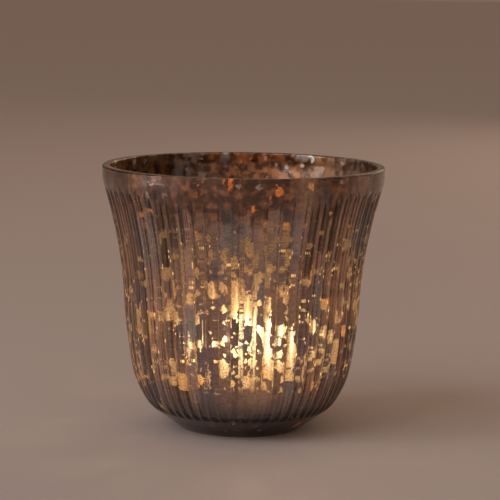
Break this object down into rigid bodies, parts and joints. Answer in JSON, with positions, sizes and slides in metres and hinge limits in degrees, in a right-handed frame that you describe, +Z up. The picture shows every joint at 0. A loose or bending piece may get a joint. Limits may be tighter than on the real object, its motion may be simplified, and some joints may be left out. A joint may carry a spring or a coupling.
{
  "type": "tealight holder",
  "caption": "Flared, fluted clear-glass cup with a flaked silvered lining, holding a lift-out tealight with its tin, wax, wick and clip.",
  "frame": {"origin": "centre of the flat ring that the cup stands on", "axes": "+Z up along the cup's axis; the wick leans towards +X"},
  "size_m": [0.09, 0.09, 0.0844],
  "materials": {
    "clear_glass": "clear, glossy, pressed",
    "silvering": "silvered film, flaked and tarnished",
    "tin_aluminium": "bright pressed foil",
    "paraffin": "translucent wax, liquid on top",
    "wick_cotton": "braided cotton, charred at the top",
    "clip_steel": "tinned sheet"
  },
  "bodies": {
    "holder": {"glass_cup": "clear_glass", "silver_coating": "silvering"},
    "tin": {"tealight_tin": "tin_aluminium"},
    "candle": {"wax": "paraffin", "wick": "wick_cotton", "wick_clip": "clip_steel"}
  },
  "joints": [
    {"name": "tealight_lift", "type": "slide", "parent": "holder", "child": "tin", "axis": [0, 0, 1], "range_m": [0, 0.1]},
    {"name": "candle_lift", "type": "slide", "parent": "tin", "child": "candle", "axis": [0, 0, 1], "range_m": [0, 0.02]}
  ]
}
